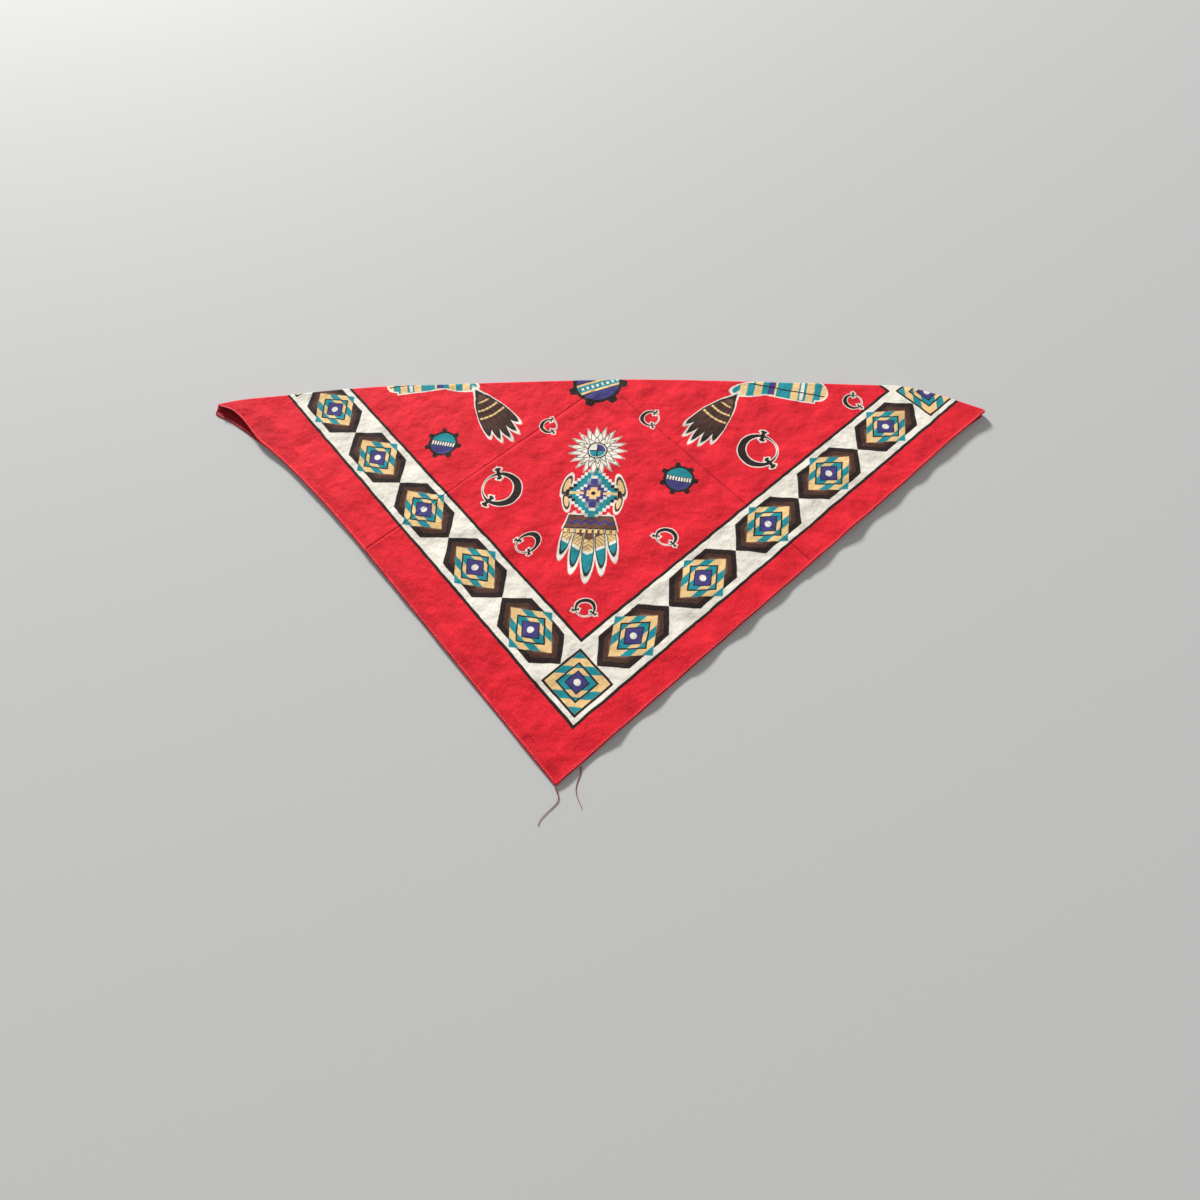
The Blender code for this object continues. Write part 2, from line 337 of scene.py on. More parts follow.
class Term:
    """A number in a material's node tree, joined to others with ordinary arithmetic."""

    def __init__(self, tree: Tree, source: Union[float, Socket]) -> None:
        """Keep the tree and the number or socket that gives the value."""
        self.tree = tree
        self.source = source

    def math(self, kind: str, *others: Value, clamp: bool = False) -> "Term":
        """Add one Math node.

        Args:
            kind: the node's operation.
            others: the values after this one.
            clamp: whether the result is kept from 0 to 1.

        Returns:
            The node's result.
        """
        node = add_node(self.tree, "Math", dict(enumerate((self, *others))), kind)
        node.use_clamp = clamp
        return Term(self.tree, node.outputs[0])

    def __add__(self, other: Value) -> "Term":
        """Return the sum."""
        return self.math("ADD", other)

    def __sub__(self, other: Value) -> "Term":
        """Return the difference."""
        return self.math("SUBTRACT", other)

    def __rsub__(self, other: float) -> "Term":
        """Return the difference from a number."""
        return Term(self.tree, float(other)).math("SUBTRACT", self)

    def __mul__(self, other: Value) -> "Term":
        """Return the product."""
        return self.math("MULTIPLY", other)

    def __neg__(self) -> "Term":
        """Return the opposite."""
        return self.math("MULTIPLY", -1.0)

    def __abs__(self) -> "Term":
        """Return the size without the sign."""
        return self.math("ABSOLUTE")

    def wave(self, width: float) -> "Term":
        """Return a zigzag, negative on every second band of this width."""
        zigzag = (self + width / 2).math("PINGPONG", width) - width / 2
        return zigzag.math("MAXIMUM", width - self)


def least(*terms: Term) -> Term:
    """Return the smallest, which joins shapes."""
    result = terms[0]
    for term in terms[1:]:
        result = result.math("MINIMUM", term)
    return result


def most(*terms: Value) -> Term:
    """Return the largest, which keeps only what shapes share."""
    result = terms[0]
    for term in terms[1:]:
        result = result.math("MAXIMUM", term)
    return result


class Spot:
    """A place on the print, as a vector socket, that shapes are measured from."""

    def __init__(self, tree: Tree, socket: Socket) -> None:
        """Keep the tree and the vector."""
        self.tree = tree
        self.socket = socket

    @cached_property
    def split(self) -> Sequence[Socket]:
        """Return the vector's separate coordinates."""
        return add_node(self.tree, "SeparateXYZ", {0: self.socket}).outputs

    @property
    def x(self) -> Term:
        """Return the first coordinate."""
        return Term(self.tree, self.split[0])

    @property
    def y(self) -> Term:
        """Return the second coordinate."""
        return Term(self.tree, self.split[1])

    def at(self, x: float, y: float, degrees: float = 0.0, size: Sequence[float] = (1.0, 1.0)) -> "Spot":
        """Return the same place seen from a point of the print.

        Args:
            x: the point's first coordinate.
            y: the point's second coordinate.
            degrees: how far the motif there is turned.
            size: what the motif's unit lengths are.

        Returns:
            The place in the motif's own coordinates.
        """
        turn = (0, 0, math.radians(degrees))
        fed = {"Vector": self.socket, "Location": (x, y, 0), "Rotation": turn, "Scale": (*size, 1)}
        node = add_node(self.tree, "Mapping", fed)
        node.vector_type = "TEXTURE"
        return Spot(self.tree, node.outputs[0])

    def mirrored(self) -> "Spot":
        """Return the same place folded over the first axis."""
        return joined(self.x, abs(self.y))

    def cloud(self, scale: float, detail: float = 2.0) -> Term:
        """Return a noise over this place, in cycles to its unit of length."""
        node = add_node(self.tree, "TexNoise", {"Scale": scale, "Detail": detail, "Vector": self.socket})
        return Term(self.tree, node.outputs["Fac"])

    def disc(self, x: float, y: float, radius: float) -> Term:
        """Return the distance outside a disc."""
        node = add_node(self.tree, "VectorMath", {0: self.socket, 1: (x, y, 0)}, "DISTANCE")
        return Term(self.tree, node.outputs["Value"]) - radius

    def oval(self, x: float, y: float, long: float, wide: float, degrees: float) -> Term:
        """Return a distance outside an oval, in its wide direction's millimetres."""
        return self.at(x, y, degrees, (long, wide)).disc(0, 0, 1.0) * wide

    def block(self, x: float, y: float, half_x: float, half_y: float) -> Term:
        """Return the distance outside a rectangle."""
        return most(abs(self.x - x) - half_x, abs(self.y - y) - half_y)

    def bell(self, y: float, half_y: float, narrow: float, slope: float) -> Term:
        """Return the distance outside a block that widens downwards."""
        fall = self.y - y
        return most(abs(fall) - half_y, abs(self.x) - narrow + fall * slope)

    def rays(self, count: int, inner: float, outer: float) -> Term:
        """Return the distance outside a star of pointed petals."""
        turn = self.y.math("ARCTAN2", self.x) * (count / math.pi)
        return self.disc(0, 0, outer) + turn.math("PINGPONG", 1.0) * (outer - inner)


def joined(x: Term, y: Term) -> Spot:
    """Return the place with these two coordinates."""
    return Spot(x.tree, add_node(x.tree, "CombineXYZ", {0: x, 1: y}).outputs[0])


@dataclass(frozen=True)
class Inks:
    """The print's colours, as linear light, with a light fleck colour that is partly painted sheen and a dark
    reverse colour that is partly painted shade.
    """

    red: Colour = (0.710, 0.013, 0.027)
    cream: Colour = (0.800, 0.760, 0.660)
    black: Colour = (0.012, 0.010, 0.009)
    dark_brown: Colour = (0.060, 0.028, 0.018)
    brown: Colour = (0.140, 0.062, 0.038)
    teal: Colour = (0.004, 0.250, 0.290)
    tan: Colour = (0.800, 0.540, 0.240)
    blue: Colour = (0.045, 0.045, 0.190)
    # Light pink of the flecks on the thick yarns: partly lighter fibres, partly painted sheen.
    fibre_and_sheen: Colour = (0.950, 0.400, 0.380)
    # Dark red of the cloth's reverse: the dull back of the print, darkened further with painted shade.
    reverse: Colour = (0.230, 0.004, 0.012)


INKS = Inks()


class Painter:
    """Lays one ink after another over a ground, with a slightly soft edge."""

    def __init__(self, tree: Tree, ground: Colour, edge: float) -> None:
        """Start with the ground colour and an edge width in millimetres."""
        self.tree = tree
        self.edge = edge
        self.colour: Union[Colour, Socket] = ground

    def mix(self, factor: Term, ink: Colour) -> None:
        """Put an ink over the picture where factor is 1."""
        node = self.tree.nodes.new("ShaderNodeMix")
        node.data_type = "RGBA"
        feed(node, {0: factor, 6: self.colour, 7: ink})
        self.colour = node.outputs[2]

    def fill(self, *shapes: tuple[Term, Colour], scale: float = 1.0) -> None:
        """Paint shapes, each over the one before.

        Args:
            shapes: the distance outside each shape, and its ink.
            scale: millimetres for one unit of that distance.
        """
        for shape, ink in shapes:
            self.mix(shape.math("MULTIPLY_ADD", -scale / self.edge, 0.5, clamp=True), ink)

    def outlined(self, shape: Term, rim: float, rim_ink: Colour, ink: Colour) -> None:
        """Paint a shape with a rim round its outside."""
        self.fill((shape - rim, rim_ink), (shape, ink))


@dataclass(frozen=True)
class Border:
    """The tiled band round the print, with one tile as the unit of length."""

    unit: float = 80.0
    corner: float = 2.763
    line: float = 0.325
    half_line: float = 0.0165
    flat: float = 0.24
    long: float = 0.345
    wide: float = 0.290
    inner: float = 0.640
    middle: float = 0.400

    def paint(self, painter: Painter, place: Spot) -> None:
        """Paint the band, its hexagons and its corner tiles."""
        root = 1 / math.sqrt(2) / self.unit
        first = abs((place.y - place.x) * root)
        second = abs((place.y + place.x) * root)
        across = most(first, second) - self.corner
        along = least(first, second)
        scale, away = self.unit, abs(across)
        tile = abs((along + 0.5).math("FRACT") - 0.5)
        slant = tile * 0.729 + away * 0.684 - 0.3647
        hexagon = most(slant, away - self.flat, along - 2.5)
        painter.fill(
            (away - self.line - self.half_line, INKS.black), (away - self.line + self.half_line, INKS.cream),
            (hexagon, INKS.black), (hexagon + 0.058, INKS.dark_brown), (hexagon + 0.104, INKS.brown),
            scale=scale,
        )
        diamond = tile * (1 / self.long) + away * (1 / self.wide)
        kept = most(diamond - 1, (along - 2.5) * 8)
        stripes = away.wave(self.wide / 4)
        self._quilt(painter, kept, (stripes, abs(away - 0.090) - 0.035), 0.222 * scale)
        corner_x = abs(most(first, second) - self.corner)
        corner_y = abs(along - self.corner)
        square = most(corner_x, corner_y)
        radial = abs(across + along - self.corner)
        stripes = radial.wave(0.122)
        painter.fill((square - 0.262, INKS.black), scale=scale)
        self._quilt(painter, (square - 0.236) * 4, (stripes, abs(radial - 0.165) - 0.055), 0.25 * scale)
        dot = least(tile * tile + away * away, corner_x * corner_x + corner_y * corner_y)
        painter.fill(((dot - 0.0014) * 13.0, INKS.cream), scale=scale)

    def _quilt(self, painter: Painter, shape: Term, stripes: tuple[Term, Term], scale: float) -> None:
        """Paint a striped square, with a smaller one in it striped the other way.

        Args:
            painter: the picture.
            shape: the square's distance, from -1 at its middle to 0 at its edge.
            stripes: the outer ring's teal bands and the inner ring's tan ones.
            scale: millimetres for one unit of shape.
        """
        outer_bands, inner_bands = (bands * (self.unit / scale) for bands in stripes)
        inner = shape + (1 - self.inner)
        middle = shape + (1 - self.middle)
        painter.fill(
            (shape, INKS.tan), (most(shape, outer_bands), INKS.teal), (inner - 0.045, INKS.black),
            (inner + 0.030, INKS.teal), (most(inner + 0.030, inner_bands), INKS.tan),
            (middle - 0.030, INKS.black), (middle + 0.020, INKS.blue), scale=scale,
        )


@dataclass(frozen=True)
class Crescent:
    """An open ring with round ends."""

    x: float
    y: float
    radius: float
    degrees: float
    flatness: float = 1.0

    def paint(self, painter: Painter, place: Spot) -> None:
        """Paint the ring in black with a cream rim."""
        r = self.radius
        spot = place.at(self.x, self.y, self.degrees, (1.0, self.flatness)).mirrored()
        ring = most(spot.disc(0, 0, r), -spot.disc(r * 0.19, 0, r * 0.79))
        stem = spot.oval(r * 0.44, r * 0.84, r * 0.30, r * 0.10, 62)
        outer = spot.oval(r * 0.55, r * 1.08, r * 0.17, r * 0.09, -28)
        inner = spot.oval(r * 0.34, r * 0.60, r * 0.15, r * 0.08, -28)
        painter.outlined(least(ring, stem, outer, inner), 0.55 + r * 0.02, INKS.cream, INKS.black)


@dataclass(frozen=True)
class Shield:
    """A round shield in two colours with a dashed band and short knobs."""

    x: float
    y: float
    radius: float
    degrees: float

    def paint(self, painter: Painter, place: Spot) -> None:
        """Paint the disc, its band and its rim of knobs."""
        r = self.radius
        spot = place.at(self.x, self.y, self.degrees)
        knobs = spot.rays(7, r * 0.40, r * 1.50)
        inner = spot.disc(0, 0, r * 0.84)
        band = most(inner, abs(spot.y) - r * 0.20)
        dash = spot.x.math("PINGPONG", r * 0.09) - r * 0.055
        painter.fill(
            (least(spot.disc(0, 0, r), most(knobs, spot.disc(0, 0, r * 1.24))), INKS.black), (inner, INKS.teal),
            (most(inner, spot.y + r * 0.20), INKS.blue), (band, INKS.black),
            (most(band + r * 0.05, dash), INKS.cream),
        )


@dataclass(frozen=True)
class Medallion:
    """The round device in the middle of the square."""

    x: float = -7.5
    y: float = 0.0
    radius: float = 25.0

    def paint(self, painter: Painter, place: Spot) -> None:
        """Paint the disc, its knobs, and the slanted stripe with dashes in it."""
        r = self.radius
        spot = place.at(self.x, self.y)
        rays = most(spot.rays(7, r * 0.45, r * 1.45), spot.disc(0, 0, r * 1.20))
        disc = spot.disc(0, 0, r * 0.86)
        tilted = spot.at(0, -r * 0.12, 22)
        away = abs(tilted.y)
        painter.fill(
            (least(spot.disc(0, 0, r), rays), INKS.black), (disc, INKS.blue),
            (most(disc, away - r * 0.30), INKS.black), (most(disc, away - r * 0.26), INKS.tan),
            (most(disc, away - r * 0.16), INKS.teal),
            (most(disc + 0.8, away - r * 0.07, tilted.x.math("PINGPONG", 2.6) - 1.2), INKS.cream),
        )


@dataclass(frozen=True)
class FeatherFan:
    """A fan of long feathers beside a bundle of striped bands."""

    x: float
    y: float
    flip: float
    bundle: Place

    def paint(self, painter: Painter, place: Spot) -> None:
        """Paint the bundle, then the feathers with cream rims and dark quills."""
        spot = place.at(self.x, self.y, 0.0, (self.flip, 1.0))
        self._bundle(painter, spot.at(*self.bundle, 12))
        self._feathers(painter, spot)

    def _bundle(self, painter: Painter, bands: Spot) -> None:
        """Paint the striped bundle."""
        body = least(bands.block(0, 0, 30, 12), bands.oval(30, -9, 20, 8, -20), bands.oval(-26, 4, 15, 12, 30))
        painter.outlined(body, 1.3, INKS.cream, INKS.teal)
        painter.fill(
            (most(body, abs(bands.x).wave(7.0)), INKS.tan),
            (most(body + 1.0, abs(bands.x - 12) - 3.2), INKS.blue),
            (most(body + 1.0, abs(bands.x + 17) - 1.6), INKS.cream),
            (most(body + 0.6, abs(bands.y + 2) - 0.7), INKS.black),
        )

    def _feathers(self, painter: Painter, spot: Spot) -> None:
        """Paint the feathers, their light bands and their quills."""
        plumes = [
            spot.oval(40 * math.cos(math.radians(a)), 40 * math.sin(math.radians(a)), long, 4.7, a)
            for a, long in ((-39, 26), (-46, 33), (-53, 36), (-60, 33), (-67, 26))
        ]
        fan = least(*plumes)
        painter.outlined(fan, 0.8, INKS.cream, INKS.black)
        quill = spot.y.math("ARCTAN2", spot.x) * (180 / math.pi)
        bands = least(*(abs(spot.disc(0, 0, reach)) - 1.1 for reach in (42, 32, 22)))
        painter.fill(
            (fan + 1.0, INKS.dark_brown), (most(fan + 1.5, bands), INKS.tan),
            (most(fan + 1.0, spot.disc(0, 0, 19)), INKS.brown),
            (most(fan, ((quill + 53).math("PINGPONG", 3.5) - 0.4) * 0.6), INKS.black),
        )


@dataclass(frozen=True)
class SunPendant:
    """A sun disc over a stepped diamond and a bar that five feathers hang from."""

    x: float = -1.5
    y: float = -143.0

    def paint(self, painter: Painter, place: Spot) -> None:
        """Paint the pendant from its lowest feathers up."""
        spot = place.at(self.x, self.y)
        self._feathers(painter, spot)
        self._bar(painter, spot)
        self._diamond(painter, spot)
        self._sun(painter, spot.at(0, 60))

    def _feathers(self, painter: Painter, spot: Spot) -> None:
        """Paint five hanging feathers, teal at their ends."""
        half = spot.at(0, 0, 90).mirrored()
        plumes = least(
            half.oval(-48, 0, 26, 5.4, 0), half.oval(-42, 10.5, 24, 4.8, -6), half.oval(-34, 20, 20, 4.2, -11),
        )
        painter.outlined(plumes, 1.3, INKS.cream, INKS.black)
        vane = plumes + 0.8
        down = half.y * 0.55 - half.x
        barbs = (half.x + half.y * 0.9).math("PINGPONG", 1.9) - 0.35
        painter.fill(
            (vane, INKS.teal), (most(vane, down - 50), INKS.tan), (most(vane, down - 38), INKS.brown),
            (most(vane, abs(down - 51) - 1.4), INKS.cream),
            (most(plumes + 1.2, barbs, down - 49), INKS.dark_brown),
        )

    def _bar(self, painter: Painter, spot: Spot) -> None:
        """Paint the bar with its blue zigzag and the beads under it."""
        bar = spot.bell(-19, 7, 22.0, 0.30)
        painter.outlined(bar, 1.3, INKS.cream, INKS.black)
        zigzag = abs(spot.y + 21.5 - spot.x.math("PINGPONG", 4.2)) - 1.5
        painter.fill((bar + 0.8, INKS.brown), (most(bar + 1.4, zigzag), INKS.blue))
        beads = most(abs(spot.y + 28.5) - 2.0, spot.x.math("PINGPONG", 2.7) - 1.7, abs(spot.x) - 24)
        painter.outlined(beads, 0.7, INKS.black, INKS.tan)

    def _diamond(self, painter: Painter, spot: Spot) -> None:
        """Paint the stepped diamond and the two small drops beside it."""
        side = spot.at(0, 0, 90).mirrored()
        drops = least(side.oval(20, 25, 11, 3.8, -16), side.oval(2, 24, 9, 3.4, 10))
        painter.outlined(drops, 1.2, INKS.cream, INKS.dark_brown)
        painter.fill((drops + 1.2, INKS.tan))
        step_x = abs(spot.x).math("SNAP", 3.2)
        step_y = abs(spot.y - 12).math("SNAP", 3.2)
        stepped = (step_x * 1.12 + step_y) * 0.75
        painter.fill(
            (stepped - 21.0, INKS.cream), (stepped - 19.4, INKS.black), (stepped - 18.0, INKS.teal),
            (stepped - 12.2, INKS.cream), (stepped - 10.0, INKS.blue),
            (most(stepped - 18.0, abs(spot.y - 12) - 1.4, -abs(spot.x) + 9), INKS.tan),
            (stepped - 4.6, INKS.tan), (spot.disc(0, 12, 2.0), INKS.black),
        )

    def _sun(self, painter: Painter, sun: Spot) -> None:
        """Paint the petals and the quartered disc in the middle."""
        petals = sun.rays(19, 17, 28)
        painter.outlined(petals, 0.8, INKS.cream, INKS.dark_brown)
        painter.fill((petals + 1.3, INKS.cream))
        for degrees, count, reach, rim, ink in (
            (12, 15, (12, 21.5), 0.9, INKS.dark_brown), (5, 12, (9.5, 15.5), 0.8, INKS.brown),
        ):
            ring = sun.at(0, 0, degrees).rays(count, *reach)
            painter.fill((ring - rim, ink), (ring + rim, INKS.cream))
        inner = sun.disc(0, 0, 8.2)
        painter.fill(
            (sun.disc(0, 0, 9.6), INKS.black), (inner, INKS.cream), (inner + 0.9, INKS.teal),
            (most(inner + 0.9, -sun.x, -sun.y), INKS.blue), (most(inner + 0.9, sun.x, -sun.y), INKS.cream),
            (most(inner + 0.9, least(abs(sun.x), abs(sun.y)) - 0.6), INKS.black),
        )


def dress(
    shader: Node, colour: Fed, tone: Term, height: Term, bump: Place, finish: dict[str, float]
) -> None:
    """Join a shader to its colour and its relief.

    Args:
        shader: the shader's node.
        colour: the surface's colour.
        tone: how bright the colour is from place to place.
        height: how high the surface stands.
        bump: the relief's strength, and one unit of height in metres.
        finish: the shader's own numbers.
    """
    shade = add_node(tone.tree, "VectorMath", {0: colour, "Scale": tone}, "SCALE")
    relief = add_node(tone.tree, "Bump", {"Strength": bump[0], "Distance": bump[1], "Height": height})
    feed(shader, {"Base Color": shade.outputs[0], "Normal": relief.outputs[0], **finish})


@dataclass(frozen=True)
class Cotton:
    """Plain-weave cotton: the print, the yarns that run along the two edges, soft wear, light flecks of painted
    sheen, and painted shade along the pressed creases and over the hems.

    A printed cloth has the pattern, and the faded-and-shaded one is the reverse, where the print shows dully under
    a dark red that is partly painted shade.
    """

    name: str
    printed: bool = True
    faded_and_shaded: bool = False
    yarn: float = 0.46
    print_edge: float = 0.45
    noise_middle: float = 0.5

    def make(self) -> Material:
        """Return the material, with print, weave and shader joined."""
        material, shader = new_material(self.name)
        tree, middle = material.node_tree, self.noise_middle
        sheet = tree.nodes.new("ShaderNodeUVMap")
        sheet.uv_map = "print"
        scale = add_node(tree, "VectorMath", {0: sheet.outputs[0], "Scale": 1 / MM}, "SCALE")
        place = Spot(tree, scale.outputs[0])
        painter = Painter(tree, INKS.red, self.print_edge)
        if self.printed:
            self._pattern(painter, place)
        threads = place.at(0, 0, 45)
        slubs = [place.at(0, 0, 45, size).cloud(1.0) for size in ((1.0, 0.42), (0.42, 1.0))]
        mottle = place.cloud(0.05, 4.0)
        # On the reverse, the colour goes most of the way to a dark red: partly the print showing dully through the
        # cloth, partly painted shade.
        if self.faded_and_shaded:
            painter.mix(Term(tree, 0.72) + mottle * 0.2, INKS.reverse)
        wear = place.cloud(0.35, 3.0)
        grain = slubs[0] + slubs[1] - 2 * middle
        # Light flecks where the yarns are thick: partly lighter fibres, partly painted sheen standing in for the
        # glints of the cotton.
        painter.mix(most(grain * 0.34 - 0.010, 0.0), INKS.fibre_and_sheen)
        # Two narrow lines along the pressed creases across the square: they dent the relief, and they darken the
        # colour as painted shade of the creases.
        crease_dent_and_shade = most(least(abs(abs(place.x) - abs(place.y)) * -0.4 + 1.0, 1.0), 0.0)
        tone = grain * 1.05 + (mottle - middle) * 0.60 + (wear - middle) * 0.25 - crease_dent_and_shade * 0.20 + 1.0
        # Over the hems, within a few millimetres of the square's edges, the colour is darkened: painted shade
        # along the hems.
        rim = (abs(place.x) + abs(place.y) - LAY.half_diagonal) * 0.7 + 3.6
        tone = tone - most(least(rim, 1.0), 0.0) * 0.12
        step = math.pi / self.yarn
        over = (threads.x * step).math("SINE") * (threads.y * step).math("SINE")
        wrinkle = place.cloud(0.038, 3.0)
        height = over * 0.030 + grain * 0.22 + wear * 0.05 + wrinkle * 6.0 - crease_dent_and_shade * 0.8
        dress(shader, painter.colour, tone, height, (0.85, MM), {
            "Roughness": 0.82, "Specular IOR Level": 0.12, "Sheen Weight": 0.03, "Sheen Roughness": 0.5,
        })
        return material

    def _pattern(self, painter: Painter, place: Spot) -> None:
        """Paint the whole print: the border, then the motifs of each half."""
        middle, reach = self.noise_middle, 2.0
        wobble, drift = place.cloud(0.06), place.at(31, 17).cloud(0.07)
        drawn = joined(place.x + (wobble - middle) * reach, place.y + (drift - middle) * reach)
        Border().paint(painter, drawn)
        FeatherFan(-133.0, -10.0, 1.0, (-48.0, 6.0)).paint(painter, drawn)
        FeatherFan(133.0, -6.0, -1.0, (-44.0, 6.0)).paint(painter, drawn)
        Medallion().paint(painter, drawn)
        lower = joined(-(drawn.x * drawn.y.math("SIGN")), -abs(drawn.y))
        SunPendant().paint(painter, lower)
        for motif in (
            Crescent(-87.0, -130.5, 18.5, 170), Crescent(149.0, -76.5, 18.5, 10), Crescent(-51.5, -55.5, 8.6, 10),
            Crescent(46.4, -42.5, 9.0, 350), Crescent(-55.5, -186.0, 12.5, 225, 0.72),
            Crescent(67.2, -173.5, 8.8, 245, 1.15), Crescent(0.8, -246.0, 8.4, 262, 1.1),
            Crescent(241.0, -14.5, 9.0, 20), Shield(-151.5, -81.0, 14.5, -8), Shield(76.3, -112.0, 14.5, -8),
        ):
            motif.paint(painter, lower)


@dataclass(frozen=True)
class Yarn:
    """Sewing thread: dyed, twisted and slightly shiny."""

    name: str
    colour: Colour = (0.820, 0.240, 0.250)
    lay: float = 0.55

    def make(self) -> Material:
        """Return the thread's material."""
        material, shader = new_material(self.name)
        tree = material.node_tree
        spot = Spot(tree, tree.nodes.new("ShaderNodeTexCoord").outputs["Object"])
        # The twist both raises the plies and shades the colour, lighter on their crowns and darker in the grooves:
        # painted shade following the relief.
        twist = ((spot.x + spot.y * 0.6) * (2 * math.pi / (self.lay * MM))).math("SINE")
        finish = {"Roughness": 0.6, "Sheen Weight": 0.15}
        dress(shader, self.colour, twist * 0.16 + 0.92, twist, (0.4, 0.1 * MM), finish)
        return material


# ------------------------ pieces


def finish_mesh(form: Form, name: str, materials: Iterable[Material]) -> Piece:
    """Make a smooth-shaded object of a bmesh.

    Args:
        form: the shape, which is freed.
        name: the object's name.
        materials: its material slots.

    Returns:
        The new object, at the origin.
    """
    for face in form.faces:
        face.smooth = True
    mesh = bpy.data.meshes.new(name)
    form.to_mesh(mesh)
    form.free()
    for material in materials:
        mesh.materials.append(material)
    piece = bpy.data.objects.new(name, mesh)
    bpy.context.scene.collection.objects.link(piece)
    LOG.info("%s: %d faces", name, len(mesh.polygons))
    return piece


def write_print(form: Form, places: dict[bmesh.types.BMVert, Place]) -> None:
    """Give every corner its place on the print, from millimetres on the flat cloth."""
    layer = form.loops.layers.uv.new("print")
    for face in form.faces:
        for loop in face.loops:
            u, v = places[loop.vert]
            loop[layer].uv = (u * MM, v * MM)


@dataclass
class ClothSheet:
    """One half of the cloth, cut from a grid and laid in place."""

    half: Half
    face: Material
    reverse: Material
    columns: int = 304
    spacing: float = 2.5
    fine_spacing: float = 1.25
    fine_rows: Place = (46.0, 74.0)
    roll_rows: int = 14
    trim: float = 0.15

    def rows(self) -> list[float]:
        """Return the rows' distances from the fold, closer where the cloth bends."""
        end = LAY.half_diagonal
        rows = [LAY.half_loop]
        if self.half is Half.FRONT:
            turns = [math.pi * (k / self.roll_rows - 0.5) for k in range(self.roll_rows + 1)]
            rows = [LAY.half_loop * math.sin(turn) for turn in turns]
        while rows[-1] < end:
            bend = self.half is Half.FRONT and self.fine_rows[0] < rows[-1] < self.fine_rows[1]
            rows.append(rows[-1] + (self.fine_spacing if bend else self.spacing))
        rows[-1] = end
        return rows

    def cut(self) -> Form:
        """Return the flat half, a grid trimmed along the square's two edges."""
        rows = self.rows()
        reach = LAY.half_diagonal
        form = bmesh.new()
        bmesh.ops.create_grid(form, x_segments=self.columns, y_segments=len(rows) - 1, size=1.0)
        for vert in form.verts:
            row = round((vert.co.y + 1) / 2 * (len(rows) - 1))
            vert.co = Vector((vert.co.x * reach, rows[row], 0))
        cuts = [(across, down, reach - self.trim) for across in (-1, 1) for down in (-1, 1)]
        cuts += [(across, 0, reach - LAY.blunt) for across in (-1, 1)]
        for across, down, end in cuts:
            everything = form.verts[:] + form.edges[:] + form.faces[:]
            bmesh.ops.bisect_plane(
                form, geom=everything, dist=1e-4, plane_co=(across * end, 0, 0),
                plane_no=(across, down, 0), clear_outer=True,
            )
        return form

    def build(self) -> Piece:
        """Cut, lay and dress the sheet."""
        surface: Surface = LAY.front if self.half is Half.FRONT else LAY.back
        form = self.cut()
        spots = {vert: surface(vert.co.x, vert.co.y) for vert in form.verts}
        write_print(form, {vert: place for vert, (_, place) in spots.items()})
        for vert, (point, _) in spots.items():
            vert.co = LAY.world(*point)
        bmesh.ops.recalc_face_normals(form, faces=form.faces[:])
        highest = max(form.faces, key=lambda face: face.calc_center_median().z)
        if (highest.normal.z < 0) != (self.half is Half.BACK):
            bmesh.ops.reverse_faces(form, faces=form.faces[:])
        piece = finish_mesh(form, f"{self.half.value}_cloth", (self.face, self.reverse))
        wall = piece.modifiers.new("cloth", "SOLIDIFY")
        wall.thickness = LAY.thickness * MM
        wall.offset = -1
        wall.material_offset = 1
        wall.material_offset_rim = 0
        return piece


